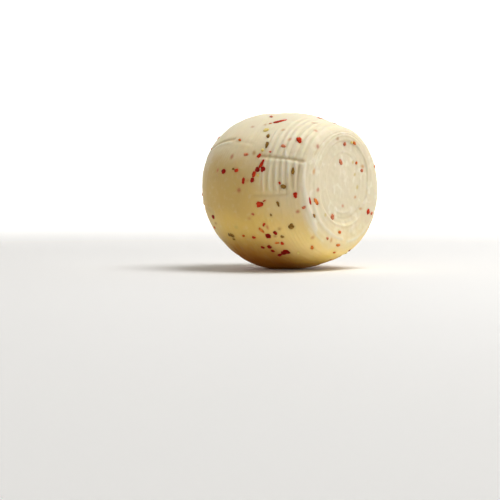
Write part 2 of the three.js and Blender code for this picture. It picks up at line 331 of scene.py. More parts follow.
def weave_relief(path, turn, points):
    patchy = PATCHES["mean"] + PATCHES["swing"] * noise_at(points, PATCHES["size"], PATCHES["seed"])
    patchy = np.clip(patchy, 0, PATCHES["most"])
    side = between(WEAVE["end"], PATH_LENGTH - WEAVE["end"], path, WEAVE["fade"])
    height = WEAVE["height"] * side * patchy * ridges(path, WEAVE["pitch"])
    along = between(SHOULDER["from"], SHOULDER["to"], path, SHOULDER["fade"])
    around = between(SHOULDER["top"], SHOULDER["bottom"], from_top(turn), SHOULDER["turn fade"])
    return height + SHOULDER["height"] * along * around * patchy * ridges(path, SHOULDER["pitch"])


# %% Fine relief
UNEVEN_RIBS = {"size": 9, "seed": 4.4, "share": 0.9}
STREAKS = [(1.5, 2.2, 0.2, 0.0), (3.4, 1.6, 0.26, 3.7)]  # size, lobes, depth, seed
CALM_MIDDLE = {"from": 18, "to": 36, "share": 0.7}  # radii of a face where its streaks grow
CURD_PITS = {"size": 4.2, "seed": 2.1, "depth": 0.2}
SOFT_DENTS = [(26, 0.45), (8, 0.14), (3.0, 0.07)]  # size, which is also the seed, and depth


def fine_relief(path, turn, points):
    height = weave_relief(path, turn, points)
    uneven = noise_at(points, UNEVEN_RIBS["size"], UNEVEN_RIBS["seed"])
    height += UNEVEN_RIBS["share"] * rib_relief(path, turn) * uneven
    middle = 1 - smooth(CALM_MIDDLE["from"], CALM_MIDDLE["to"], radius_at(path))
    lively = 1 - CALM_MIDDLE["share"] * on_face(path) * middle
    for size, lobes, depth, seed in STREAKS:
        height += depth * lively * streak_noise(path, turn, size, lobes, seed)
    pits = noise_at(points, CURD_PITS["size"], CURD_PITS["seed"])
    height += CURD_PITS["depth"] * on_face(path) * pits
    for size, depth in SOFT_DENTS:
        height += depth * noise_at(points, size, size)
    return height


# %% [markdown]
# The mould's marks waver a little, because the soft curd moved after it left the mould. So a mark
# is looked up at a path that the same kind of noise has shifted.

# %% Points of the finished skin
WOBBLE = {"size": 9, "lobes": 1.2, "seed": 11.0, "reach": 0.9}


def wobbled(path, turn):
    shifted = streak_noise(path, turn, WOBBLE["size"], WOBBLE["lobes"], WOBBLE["seed"])
    return path + WOBBLE["reach"] * shifted


def skin_point(path, turn):
    out = directions_at(path, turn)[2]
    points = plain_point(path, turn) + out * relief(wobbled(path, turn), turn)[:, None]
    return points + out * fine_relief(path, turn, points)[:, None]


def mark_height(path, turn):
    path = wobbled(path, turn)
    return rib_relief(path, turn) + crease_relief(path, turn) + ring_relief(path, turn)


# %% [markdown]
# ## The skin mesh
#
# A grid of rows along the path and columns around it follows every mark. Its rows are closer than
# its columns because most marks run around the cheese. The columns bunch up at the deep creases.
# The poles are closed with fans, and what would hang below the table is pressed flat.

# %% The grid
ROWS = 290
COLUMNS = 300
DEEP_CREASE = 0.5
CREASE_COLUMN_STEP = 0.6
CREASE_MARGIN = 4
POLE_GAP = 1.2


def grid_turns():
    turns = list(np.linspace(0, 360, COLUMNS, endpoint=False))
    for _, crease_turns, depth, _, _ in CREASES:
        if depth > DEEP_CREASE:
            first = min(crease_turns) - CREASE_MARGIN
            last = max(crease_turns) + CREASE_MARGIN
            turns = [turn for turn in turns if not first < turn < last]
            turns += list(np.arange(first, last, CREASE_COLUMN_STEP))
    return np.array(sorted(turns))


row_paths = np.linspace(POLE_GAP, PATH_LENGTH - POLE_GAP, ROWS)
turns = grid_turns()
path_grid, turn_grid = (grid.ravel() for grid in np.meshgrid(row_paths, turns, indexing="ij"))
skin = skin_point(path_grid, turn_grid)
columns = len(turns)
marks = np.append(mark_height(path_grid, turn_grid), [0, 0])
poles = [skin[:columns].mean(0), skin[-columns:].mean(0)]
skin = np.concatenate([skin, poles])
skin[:, 2] = np.maximum(skin[:, 2], underside)

# %% Into the frame's own place
shift = Vector((
    (low.x + high.x) / 2 - MM * (skin[:, 0].min() + skin[:, 0].max()) / 2,
    (low.y + high.y) / 2 - MM * (skin[:, 1].min() + skin[:, 1].max()) / 2,
    low.z - MM * underside,
))


def placed(points):
    return points * MM + np.array(shift)


print("moved by", [round(value / MM, 2) for value in shift], "mm")

# %% The skin object
def skin_faces():
    faces = []
    for row in range(ROWS - 1):
        start = row * columns
        for column in range(columns):
            after = (column + 1) % columns
            below = start + columns
            faces.append((start + column, below + column, below + after, start + after))
    first, last = ROWS * columns, ROWS * columns + 1
    bottom = (ROWS - 1) * columns
    for column in range(columns):
        after = (column + 1) % columns
        faces.append((first, column, after))
        faces.append((last, bottom + after, bottom + column))
    return faces


def mesh_object(name, points, faces):
    mesh = bpy.data.meshes.new(name)
    mesh.from_pydata([tuple(point) for point in points], [], faces)
    mesh.shade_smooth()
    piece = bpy.data.objects.new(name, mesh)
    bpy.context.scene.collection.objects.link(piece)
    return piece


cheese = mesh_object("cheese_skin", placed(skin), skin_faces())
print("the skin has", len(cheese.data.polygons), "faces")

# %% [markdown]
# ## Where the flakes lie
#
# The flakes that show are placed one by one, as they lie on the real cheese. Each line gives a
# path, a turn, a length, a width and the lean of the length from the path towards the turn. Over
# the rest of the skin a seeded rule spreads others at the same density: it draws places and keeps
# those clear of their neighbours. Real flakes come from dried pods, so some are dark skin, some
# bright, some veiled by a film of curd, some orange and dull, some brown calyx, and some are seeds.

# %% Flakes that show
SHOWN_FLAKES = [
    (89.6, 26.7, 12, 3.4, 38, "bright"),
    (102.4, 19.6, 4.4, 2.2, -40, "veiled"),
    (93.6, 38.5, 5.2, 3.8, 0, "seed"),
    (88, 44.7, 5.2, 2.4, -58, "brown"),
    (61.2, 44.4, 6.6, 3.8, -40, "bright"),
    (70.7, 52.6, 4.2, 2.8, 0, "veiled"),
    (84.7, 53.2, 6.4, 3, -70, "brown"),
    (87.6, 62.7, 4.8, 2.8, 60, "bright"),
    (83.4, 69.4, 7, 2.4, 70, "bright"),
    (81.1, 73.2, 4.2, 4, 0, "dark"),
    (85.6, 73.5, 4.2, 4, 0, "dark"),
    (88, 77, 5.5, 3, 75, "bright"),
    (88.9, 81.3, 3.8, 3.6, 0, "dark"),
    (96.9, 81.8, 5.8, 2.6, 85, "bright"),
    (104.3, 74.4, 4, 2.8, 0, "bright"),
    (116.8, 75.2, 4.6, 3.6, 0, "dark"),
    (57.2, 72.8, 6.4, 2.4, 90, "brown"),
    (63, 86.2, 4.6, 3.2, -10, "brown"),
    (54.2, 93.5, 4.6, 3.4, 90, "bright"),
    (82.6, 99, 6, 4.6, 10, "bright"),
    (86.4, 119, 6, 2.6, -55, "orange"),
    (61.6, 120, 5, 4.8, 0, "brown"),
    (75.5, 122.6, 3.8, 3, 90, "dark"),
    (82.2, 124.4, 5, 4.3, 0, "dark"),
    (116.2, 123.4, 7.8, 3.8, -5, "brown"),
    (77.8, 131.7, 4, 2.2, 0, "orange"),
    (74.3, 133.2, 3.8, 2.4, 70, "bright"),
    (86.3, 134.6, 4, 3.8, 0, "dark"),
    (76.6, 142.7, 8, 6.4, 10, "dark"),
    (82.7, 144.4, 5, 3, 25, "dark"),
    (133, 111.6, 4.8, 3, 30, "dark"),
    (56.3, 147.6, 5.5, 2.4, 60, "orange"),
    (38.4, 110.2, 7.4, 3.2, -72, "orange"),
    (43.9, 103, 6.2, 2.2, 80, "bright"),
    (43.6, 119.7, 4, 2.6, -75, "brown"),
    (29.6, 151.4, 4.8, 4.4, 0, "veiled"),
    (45.2, 172.3, 5.4, 2.2, 88, "orange"),
    (37.8, 170.8, 4.4, 2.4, 90, "orange"),
    (15.8, 11, 5.6, 3.2, 40, "veiled"),
    (29.3, 357, 3.8, 2.8, 90, "veiled"),
    (33, 336, 4.4, 2.4, 84, "orange"),
    (39, 235.8, 5, 4, 70, "bright"),
    (43.3, 240, 4.2, 2.2, 55, "veiled"),
]

# %% [markdown]
# Smaller crumbs of chilli lie between them. They are too small for the solid, so they are listed
# only here.

# %% Small crumbs that show
SHOWN_CRUMBS = [
    (94.8, 30.3, 3, 1.4, 30, "orange"),
    (111.2, 49.8, 3.8, 2, -30, "orange"),
    (79.4, 58.8, 2.2, 1, 0, "bright"),
    (82.4, 66.6, 2.2, 2, 0, "bright"),
    (84.4, 77.8, 2.6, 2, 0, "seed"),
    (86.4, 58, 3.4, 2.2, -60, "seed"),
    (99.5, 62.1, 4.4, 2.4, 0, "veiled"),
    (107.4, 73.4, 2.6, 2, 0, "brown"),
    (66.2, 83.4, 3.2, 1.8, -40, "bright"),
    (78.4, 96.6, 2.6, 1, 20, "bright"),
    (67.8, 99.4, 4.4, 2, -75, "brown"),
    (89.6, 106.2, 2.8, 2.2, 0, "veiled"),
    (74.6, 107.7, 2.4, 1.4, 90, "brown"),
    (82.1, 114.5, 3.6, 2, 45, "bright"),
    (71.4, 127, 2.8, 2.4, 0, "brown"),
    (95.4, 124.9, 3.2, 2.6, 0, "bright"),
    (103.8, 123, 2.6, 2, 0, "orange"),
    (92.1, 134.6, 3.2, 2.8, 0, "dark"),
    (85.7, 139, 3.4, 3, 90, "dark"),
    (115, 126.8, 3, 2, 0, "brown"),
    (137.6, 122.8, 4, 2.4, 40, "orange"),
    (68.4, 147.4, 4, 1.6, 60, "seed"),
    (44.3, 152.8, 3, 2, 90, "veiled"),
    (51, 172.7, 4, 2, 80, "orange"),
    (49, 106, 3.8, 2, 0, "veiled"),
    (32.4, 341.2, 3, 2, 80, "seed"),
    (23.1, 309.7, 2.8, 2.2, 0, "orange"),
    (26.6, 289.5, 3.4, 2.8, 0, "veiled"),
    (47.4, 292.5, 3.8, 2.8, 0, "orange"),
]

# %% [markdown]
# Other flakes lie just under the skin and show as soft blots: a path, a turn, a length, a width,
# a lean and a kind.

# %% Flakes under the skin
BURIED = [
    (65, 15.2, 4.4, 3, 0, "veiled"), (56.4, 27.4, 3.8, 2.6, 0, "veiled"),
    (45.8, 44, 3.6, 2.2, 90, "dark"), (79, 36.8, 3.2, 2.4, -20, "orange"),
    (68.8, 45.2, 3.4, 2.4, 90, "veiled"), (98.6, 32.2, 3, 1.6, -20, "orange"),
    (108, 35.6, 4, 2, -20, "orange"), (111.9, 64.1, 4.6, 2.8, 90, "dark"),
    (124.2, 74.5, 3, 2.6, 0, "bright"), (93.3, 81.7, 3, 2.4, 0, "orange"),
    (40, 75, 5, 2.8, 60, "orange"), (100.2, 88.6, 3.4, 3, 0, "dark"),
    (34.5, 98.6, 4.6, 2.8, 10, "dark"), (53.9, 108.2, 2.8, 2.4, 0, "dark"),
    (93.7, 109.3, 3, 2.4, 0, "orange"), (80.1, 117, 4, 1.6, 90, "bright"),
    (71.1, 119.8, 2.8, 2.4, 0, "brown"), (76.9, 125.4, 2.8, 2.4, 0, "brown"),
    (107.4, 115.7, 3.5, 2.6, 0, "seed"), (112.4, 135.5, 4.2, 2.8, 0, "brown"),
    (129.6, 134.5, 3.8, 3, 0, "brown"), (131.8, 116.7, 5, 1.8, 20, "brown"),
    (51.1, 137.8, 3, 2.4, 0, "orange"), (34.6, 134.6, 3.4, 2.6, 0, "seed"),
    (19.8, 258.5, 4, 2.8, 80, "seed"), (30.9, 228.3, 3.4, 1.6, 50, "orange"),
    (34.6, 14.7, 4.2, 2.4, 80, "brown"), (92.8, 60.6, 4, 2.8, -60, "brown"),
    (20.4, 318.8, 2.6, 2.2, 0, "seed"), (17, 290, 3, 2.2, 0, "seed"),
    (43.9, 159.3, 3.4, 2.6, 0, "orange"), (29, 294.8, 4.6, 2.6, 145, "orange"),
    (18, 179, 3, 2.2, 90, "veiled"), (20, 235, 2.8, 2, 60, "orange"),
]

# %% [markdown]
# The seeded rule is a short run of remainders, which gives the same draws in any language, so
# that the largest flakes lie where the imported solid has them. It keeps off the part of the skin
# that shows in the photograph, where the flakes above already lie, and off the flat underside.

# %% Scattered flakes
SCATTERED_FLAKES = 44
FLAKE_GAP = 11
FLAKE_LENGTHS = (3.6, 5.8)
FLAKE_SLIMNESS = (0.5, 0.8)
REST_CLEARANCE = 7
SEED = 4127
CRUMBS = 90
CRUMB_GAP = 4.5
CRUMB_LENGTHS = (1.6, 3.4)
MULTIPLIER, MODULUS = 16807, 2147483647
SHOWN_FACE = 52
SHOWN_SIDE = {"path": 150, "top": 8, "bottom": 165}
CRUMB_MARGIN = 25
drawn = SEED


def draw(least=0.0, most=1.0):
    global drawn
    drawn = drawn * MULTIPLIER % MODULUS
    return least + (most - least) * drawn / MODULUS


def is_shown(path, turn, margin):
    turn = float(from_top(turn))
    on_side = path < SHOWN_SIDE["path"] and SHOWN_SIDE["top"] - margin < turn < SHOWN_SIDE["bottom"]
    return path < SHOWN_FACE or on_side


def scatter(count, gap, lengths, margin, taken):
    places = []
    lowest = underside + REST_CLEARANCE
    while len(places) < count:
        path, turn, radius_share = draw(0, PATH_LENGTH), draw(0, 360), draw()
        length = draw(*lengths)
        width = length * draw(*FLAKE_SLIMNESS)
        lean = draw(0, 180)
        point = plain_point(np.array(path), np.array(turn))
        even = radius_share < radius_at(path) / GIRTH
        clear = all(np.linalg.norm(other - point) > gap for other in taken)
        if even and clear and point[2] > lowest and not is_shown(path, turn, margin):
            taken.append(point)
            places.append((path, turn, length, width, lean))
    return places


taken = [plain_point(np.array(float(flake[0])), np.array(float(flake[1]))) for flake in SHOWN_FLAKES]
scattered = scatter(SCATTERED_FLAKES, FLAKE_GAP, FLAKE_LENGTHS, 0, taken)
crumbs = scatter(CRUMBS, CRUMB_GAP, CRUMB_LENGTHS, CRUMB_MARGIN, taken)
# the share of the draws up to which each kind reaches
KIND_SHARES = [("dark", 0.25), ("bright", 0.55), ("veiled", 0.7),
               ("orange", 0.82), ("brown", 0.94), ("seed", 1.0)]


def draw_kind():
    share = draw()
    return next(kind for kind, most in KIND_SHARES if share <= most)


flakes = SHOWN_FLAKES + SHOWN_CRUMBS + [(*place, draw_kind()) for place in scattered + crumbs]
print(len(flakes), "flakes and crumbs")

# %% [markdown]
# ## Stains
#
# Chilli oil bleeds a little way into the curd, so every flake has a soft orange rim, and a buried
# one is only a blot. A texture can't know where the flakes are, but the mesh can: each vertex
# stores the colour and the strength of the stain there as a colour attribute. A second attribute
# stores how high the mould's mark is there, so that the finish can paint a highlight on the ridges
# and painted shade into the grooves.

# %% The attributes
STAIN_COLOURS = {
    "dark": (0.46, 0.1, 0.05),
    "bright": (0.56, 0.13, 0.06),
    "veiled": (0.62, 0.24, 0.12),
    "orange": (0.6, 0.3, 0.1),
    "brown": (0.43, 0.21, 0.07),
    "seed": (0.6, 0.45, 0.14),
}
RIM = {"softness": 0.8, "strength": 0.4}
BLOT = {"softness": 0.4, "strength": 0.75}
STAIN_FALL = 1.6  # how fast a stain fades outwards
STAIN_EDGE = 1.5  # and how hard its edge is
LEAST_STAIN = 1e-6


def stain_at(skin_mm, point, along, across, length, width, softness):
    offset = skin_mm - point
    u = offset @ along / (length / 2 + softness)
    v = offset @ across / (width / 2 + softness)
    far = np.linalg.norm(offset, axis=-1) > length + 3 * softness
    return np.where(far, 0, np.exp(-STAIN_FALL * (u**2 + v**2) ** STAIN_EDGE))


def place_frame(path, turn, lean):
    path, turn = np.array([float(path)]), np.array([float(turn)])
    along, around, out = (way[0] for way in directions_at(path, turn))
    lean = math.radians(lean)
    length_way = along * math.cos(lean) + around * math.sin(lean)
    return skin_point(path, turn)[0], length_way, np.cross(out, length_way), out


stain = np.zeros((len(skin), 4))


def add_stain(colour, strength):
    """Mixes a colour into the stains by its strength, and keeps the greater strength."""
    total = (stain[:, 3] + strength)[:, None]
    mixed = stain[:, :3] * stain[:, 3:] + np.array(colour) * strength[:, None]
    mixed = mixed / np.maximum(total, LEAST_STAIN)
    stain[:, :3] = np.where(total > LEAST_STAIN, mixed, stain[:, :3])
    stain[:, 3] = np.maximum(stain[:, 3], strength)


for chosen, look in ((flakes, RIM), (BURIED, BLOT)):
    for path, turn, length, width, lean, kind in chosen:
        point, length_way, width_way, _ = place_frame(path, turn, lean)
        spread = stain_at(skin, point, length_way, width_way, length, width, look["softness"])
        add_stain(STAIN_COLOURS[kind], look["strength"] * spread)
attribute = cheese.data.attributes.new("stain", "FLOAT_COLOR", "POINT")
attribute.data.foreach_set("color", stain.astype(np.float32).ravel())
# the heights of the mould's marks, which the skin's finish turns into painted highlight and painted
# shade
attribute = cheese.data.attributes.new("mark", "FLOAT", "POINT")
attribute.data.foreach_set("value", marks.astype(np.float32))
print("stained vertices:", int((stain[:, 3] > 0.05).sum()))

# %% [markdown]
# ## Numbers and nodes
#
# Both the scattering of the flakes and the finishes are node trees. Written by hand, a tree is a
# long list of links, so one small class wraps a socket and lets Python's own operators add the
# maths nodes, and one method adds any other node from its type, settings and socket values.

# %% The socket wrapper
class Value:
    def __init__(self, tree, socket):
        self.tree, self.socket = tree, socket

    def maths(self, operation, *others, swap=False):
        terms = [self, *others][::-1] if swap else [self, *others]
        node = self.tree.nodes.new("ShaderNodeMath")
        node.operation = operation
        for slot, term in zip(node.inputs, terms):
            fill(self.tree, slot, term)
        return Value(self.tree, node.outputs[0])

    def __add__(self, other):
        return self.maths("ADD", other)

    def __sub__(self, other):
        return self.maths("SUBTRACT", other)

    def __rsub__(self, other):
        return self.maths("SUBTRACT", other, swap=True)

    def __mul__(self, other):
        return self.maths("MULTIPLY", other)

    __radd__ = __add__
    __rmul__ = __mul__

    def step(self, start, end):
        """0 below start, 1 above end, smooth between them."""
        node = self.tree.nodes.new("ShaderNodeMapRange")
        node.interpolation_type = "SMOOTHSTEP"
        for slot, term in zip(node.inputs, (self, start, end, 0.0, 1.0)):
            fill(self.tree, slot, term)
        return Value(self.tree, node.outputs[0])


def fill(tree, slot, term):
    if isinstance(term, Value):
        tree.links.new(term.socket, slot)
    else:
        slot.default_value = term


# %% The node maker
class Nodes:
    def __init__(self, tree):
        self.tree = tree
        tree.nodes.clear()

    def add(self, kind, settings=None, inputs=None, output=0):
        node = self.tree.nodes.new(kind)
        for key, setting in (settings or {}).items():
            setattr(node, key, setting)
        for key, term in (inputs or {}).items():
            slot = next(s for s in node.inputs if key in (s.identifier, s.name))
            fill(self.tree, slot, term)
        if not node.outputs:
            return node
        socket = node.outputs[output] if isinstance(output, int) else next(
            s for s in node.outputs if output in (s.identifier, s.name))
        return Value(self.tree, socket)

    def mix(self, factor, a, b):
        a, b = ((*colour, 1) if isinstance(colour, tuple) else colour for colour in (a, b))
        return self.add("ShaderNodeMix", {"data_type": "RGBA"},
                        {"Factor_Float": factor, "A_Color": a, "B_Color": b}, "Result_Color")


# %% [markdown]
# ## The chips
#
# A flake is a curled, torn bit of dried skin a few tenths of a millimetre thick. Modelled one by
# one they would be near copies, and particles vanish on export. So a handful of torn outlines are
# made once, and a node tree sets one on each flake's place, turned and scaled, then makes them
# real mesh and crinkles them.

# %% Chip outlines
CHIP_SIDES = 14
CHIP_SHAPES = 9
CHIP_TEARS = [(1.6, 0.4), (4.7, 0.24)]  # lobes, depth
CHIP_CROWN = 0.66
CHIP_FOOT = -0.9
CHIP_RINGS = [(0.62, 0.52), (1.0, 0.12), (0.8, CHIP_FOOT)]  # reach and height of shoulder, rim, foot


def torn_radius(angle, number):
    """How far the torn edge of a chip lies from its middle, about one."""
    radius = 1
    for lobes, depth in CHIP_TEARS:
        place = (lobes * math.cos(angle), lobes * math.sin(angle), lobes * number)
        radius += depth * noise.noise(Vector(place))
    return radius


def chip_points(number):
    points = []
    for reach, height in CHIP_RINGS:
        for side in range(CHIP_SIDES):
            a = 2 * math.pi * side / CHIP_SIDES
            radius = reach * torn_radius(a, number)
            points.append((radius * math.cos(a), radius * math.sin(a), height))
    return points + [(0, 0, CHIP_CROWN), (0, 0, CHIP_FOOT)]


def chip_faces():
    below = len(CHIP_RINGS) - 1
    crown = len(CHIP_RINGS) * CHIP_SIDES
    foot = crown + 1
    faces = []
    for side in range(CHIP_SIDES):
        after = (side + 1) % CHIP_SIDES
        faces.append((crown, side, after))
        for ring in range(below):
            a = ring * CHIP_SIDES + side
            b = ring * CHIP_SIDES + after
            faces.append((a, a + CHIP_SIDES, b + CHIP_SIDES, b))
        faces.append((below * CHIP_SIDES + side, foot, below * CHIP_SIDES + after))
    return faces


def chip_mesh(number):
    mesh = bpy.data.meshes.new(f"chip_{number}")
    mesh.from_pydata(chip_points(number), [], chip_faces())
    return mesh


chips = bpy.data.collections.new("chips")
for number in range(CHIP_SHAPES):
    chips.objects.link(bpy.data.objects.new(f"chip_{number}", chip_mesh(number)))

# %% The scattering tree
TREE_INPUTS = {
    "Places": "NodeSocketGeometry",
    "Chips": "NodeSocketCollection",
    "Finish": "NodeSocketMaterial",
    "Thickness": "NodeSocketFloat",
    "Crinkle": "NodeSocketFloat",
    "Crinkle Size": "NodeSocketFloat",
}


def stored(nodes, data_type, name):
    return nodes.add("GeometryNodeInputNamedAttribute", {"data_type": data_type}, {"Name": name})


def scatter_tree():
    tree = bpy.data.node_groups.new("set chips on the skin", "GeometryNodeTree")
    for name, kind in TREE_INPUTS.items():
        tree.interface.new_socket(name, in_out="INPUT", socket_type=kind)
    tree.interface.new_socket("Flakes", in_out="OUTPUT", socket_type="NodeSocketGeometry")
    nodes = Nodes(tree)
    start = tree.nodes.new("NodeGroupInput")
    given = {socket.name: Value(tree, socket) for socket in start.outputs if socket.name}
    shape = stored(nodes, "INT", "shape")
    spin = stored(nodes, "FLOAT_VECTOR", "spin")
    half = stored(nodes, "FLOAT_VECTOR", "half size")
    rotation = nodes.add("FunctionNodeEulerToRotation", None, {"Euler": spin})
    flat = nodes.add("ShaderNodeCombineXYZ", None, {"X": 1.0, "Y": 1.0, "Z": given["Thickness"]})
    scale = nodes.add("ShaderNodeVectorMath", {"operation": "MULTIPLY"},
                      {"Vector": half, "Vector_001": flat})
    shapes = nodes.add("GeometryNodeCollectionInfo", None, {
        "Collection": given["Chips"], "Separate Children": True, "Reset Children": True})
    instances = nodes.add("GeometryNodeInstanceOnPoints", None, {
        "Points": given["Places"], "Instance": shapes, "Pick Instance": True,
        "Instance Index": shape, "Rotation": rotation, "Scale": scale})
    real = nodes.add("GeometryNodeRealizeInstances", None, {"Geometry": instances})
    crinkle = nodes.add("ShaderNodeTexNoise", None,
                        {"Scale": given["Crinkle Size"], "Detail": 1.0}, "Color")
    middle = nodes.add("ShaderNodeVectorMath", {"operation": "SUBTRACT"},
                       {"Vector": crinkle, "Vector_001": (0.5, 0.5, 0.5)})
    offset = nodes.add("ShaderNodeVectorMath", {"operation": "SCALE"},
                       {"Vector": middle, "Scale": given["Crinkle"]})
    moved = nodes.add("GeometryNodeSetPosition", None, {"Geometry": real, "Offset": offset})
    finished = nodes.add("GeometryNodeSetMaterial", None,
                         {"Geometry": moved, "Material": given["Finish"]})
    nodes.add("NodeGroupOutput", None, {"Flakes": finished})
    return tree


SCATTER = scatter_tree()
print(len(SCATTER.nodes), "nodes in the scattering tree")

# %% [markdown]
# ## Finishes
#
# The skin is a translucent, waxy ivory. Light goes in and comes back warmer, so the finish needs
# subsurface scattering more than it needs pattern. Over the ivory, masks made from the height and
# from the place along the axis lay the other colours: painted light in cream on the top, butter
# yellow on the flank, partly the skin's own colour and partly painted shade, which climbs towards
# the hidden end, painted shade as a duller tan band on it, painted warm bounce light in gold and
# honey low at the shown end, and painted shade in amber underneath. A little noise moves every
# edge, so that none shows as a line. The painted highlight on the ridges, the painted shade in the
# grooves and the oily stains come last, from the mesh's two attributes.

# %% The skin's colours
IVORY = (0.735, 0.65, 0.465)
# painted light: the top is lighter where the lamp from above falls on it
PAINTED_TOP_LIGHT = (0.87, 0.775, 0.56)
# partly the skin's own butter yellow, partly painted shade on the side turned from the lamp
BUTTER_AND_SHADE = (0.75, 0.52, 0.145)
# painted shade: a darker band along the side, where it turns away from the lamp
PAINTED_SHADE_TAN = (0.575, 0.39, 0.135)
# painted warm bounce light, low at the shown end; the next colour is its deepest part near the table
PAINTED_BOUNCE_GOLD = (1.0, 0.8, 0.35)
PAINTED_BOUNCE_HONEY = (0.97, 0.66, 0.03)
# painted shade: dark brown underneath, where the cheese shades itself near the table
PAINTED_SHADE_AMBER = (0.37, 0.117, 0.001)
CURD = (0.84, 0.78, 0.62)
# painted highlight on raised marks; SHADE below is the painted shade in the grooves
PAINTED_HIGHLIGHT = (0.86, 0.81, 0.67)
SHADE = (0.5, 0.365, 0.16)
SKIN_SCATTER = (1.0, 0.62, 0.28)
UP = {
    # where each colour starts and where it is full or gone, in metres above the table
    "flank": (0.045, 0.118),
    "crown": (0.088, 0.104),
    "band foot": (0.036, 0.05),
    "band top": (0.074, 0.094),
    "bounce_light": (0.01, 0.045),
    "bounce_light_low": (0.003, 0.02),
    "underside_shade": (0.004, 0.033),
}
TO_SHOWN = {
    # the same, in metres from the middle of the side towards the shown face
    "flank": (0.0, 0.05),
    "band": (0.0, 0.03),
    "bounce_light": (0.008, 0.04),
    "underside_shade": (0.012, 0.062),
}
TO_HIDDEN = {
    # and towards the hidden face
    "flank": (0.01, 0.06),
    "band": (0.03, 0.048),
    "underside_shade": (0.03, 0.055),
}
FACE_EDGE = (0.049, 0.0545)
CLOUD_SWAY = 0.02
FLANK_DROP = 0.033  # the flank's yellow ends lower by this at the shown end
OFF_FACE = {"flank": 0.95, "crown": 0.9, "bounce_light": 0.3}
OFF_HIDDEN = {"flank": 0.8, "underside_shade": 0.6}
STRENGTH = {"band": 0.75, "grain": 0.15, "curds": 0.6, "pale": 0.55, "shade": 0.45}


# %% The skin's finish
def new_finish(name):
    material = bpy.data.materials.new(name)
    material.use_nodes = True
    return material, Nodes(material.node_tree)


def texture(nodes, place, scale, detail):
    return nodes.add("ShaderNodeTexNoise", None, {"Vector": place, "Scale": scale, "Detail": detail})


def colour_masks(height, shown_way, face):
    """How much of each colour the skin takes, from its height and its place along the axis."""
    hidden_way = shown_way * -1
    # flank: the skin's own yellow together with painted shade
    flank = 1 - (height + shown_way.step(*TO_SHOWN["flank"]) * FLANK_DROP).step(*UP["flank"])
    flank = flank * (1 - face * OFF_FACE["flank"])
    flank = flank * (1 - hidden_way.step(*TO_HIDDEN["flank"]) * OFF_HIDDEN["flank"])
    # band: painted shade along the middle of the side
    band = height.step(*UP["band foot"]) * (1 - height.step(*UP["band top"]))
    band = band * (1 - shown_way.step(*TO_SHOWN["band"]))
    band = band * (1 - hidden_way.step(*TO_HIDDEN["band"]))
    # painted warm bounce light low at the shown end, and deepest right by the table
    bounce_light = (1 - height.step(*UP["bounce_light"])) * shown_way.step(*TO_SHOWN["bounce_light"])
    bounce_light = bounce_light * (1 - face * OFF_FACE["bounce_light"])
    # painted shade underneath
    underside_shade = (1 - height.step(*UP["underside_shade"])) * (1 - shown_way.step(*TO_SHOWN["underside_shade"]))
    underside_shade = underside_shade * (1 - hidden_way.step(*TO_HIDDEN["underside_shade"]) * OFF_HIDDEN["underside_shade"])
    return {
        # the crown takes the painted top light
        "crown": height.step(*UP["crown"]) * (1 - face * OFF_FACE["crown"]),
        "flank": flank,
        "band": band * STRENGTH["band"],
        "bounce_light": bounce_light,
        "bounce_light_low": bounce_light * (1 - height.step(*UP["bounce_light_low"])),
        "underside_shade": underside_shade,
    }


def cheese_finish():
    material, nodes = new_finish("waxy ivory skin")
    place = nodes.add("ShaderNodeTexCoord", output="Object")
    height = nodes.add("ShaderNodeSeparateXYZ", None, {"Vector": place}, "Z")
    height = height + (texture(nodes, place, 38.0, 3.0) - 0.5) * CLOUD_SWAY
    shown_way = nodes.add("ShaderNodeSeparateXYZ", None, {"Vector": place}, "X")
    face = shown_way.step(*FACE_EDGE)
    mask = colour_masks(height, shown_way, face)
    grain = texture(nodes, place, 260.0, 3.0)
    curds = texture(nodes, place, 150.0, 1.0)
    mark = nodes.add("ShaderNodeAttribute", {"attribute_name": "mark"}, output="Fac")
    layers = [
        (mask["crown"], PAINTED_TOP_LIGHT),
        (mask["flank"], BUTTER_AND_SHADE),
        (mask["band"], PAINTED_SHADE_TAN),
        (grain.step(0.5, 0.8) * STRENGTH["grain"], CURD),
        (curds.step(0.55, 0.68) * face * STRENGTH["curds"], CURD),
        (mask["bounce_light"], PAINTED_BOUNCE_GOLD),
        (mask["bounce_light_low"], PAINTED_BOUNCE_HONEY),
        (mask["underside_shade"], PAINTED_SHADE_AMBER),
        # painted highlight on the ridges and painted shade in the grooves, from the mark attribute
        (mark.step(0.05, 0.6) * STRENGTH["pale"], PAINTED_HIGHLIGHT),
        ((mark * -1).step(0.05, 0.7) * STRENGTH["shade"], SHADE),
    ]
    colour = IVORY
    for amount, next_colour in layers:
        colour = nodes.mix(amount, colour, next_colour)
    stain_colour = nodes.add("ShaderNodeAttribute", {"attribute_name": "stain"}, output="Color")
    stain_strength = nodes.add("ShaderNodeAttribute", {"attribute_name": "stain"}, output="Alpha")
    colour = nodes.mix(stain_strength, colour, stain_colour)
    rough = 0.42 + grain * 0.16
    pits = texture(nodes, place, 700.0, 2.0)
    normal = nodes.add("ShaderNodeBump", None,
                       {"Strength": 0.25, "Distance": 0.0002, "Height": pits + grain})
    shader = nodes.add("ShaderNodeBsdfPrincipled", None, {
        "Base Color": colour, "Roughness": rough, "Normal": normal, "Subsurface Weight": 0.45,
        "Subsurface Radius": SKIN_SCATTER, "Subsurface Scale": 0.0035, "Specular IOR Level": 0.1})
    nodes.add("ShaderNodeOutputMaterial", None, {"Surface": shader})
    return material


# %% [markdown]
# Dried chilli is glossy where its skin faces out and dull where it is torn. One finish with a dark
# and a light colour for each kind covers them all.

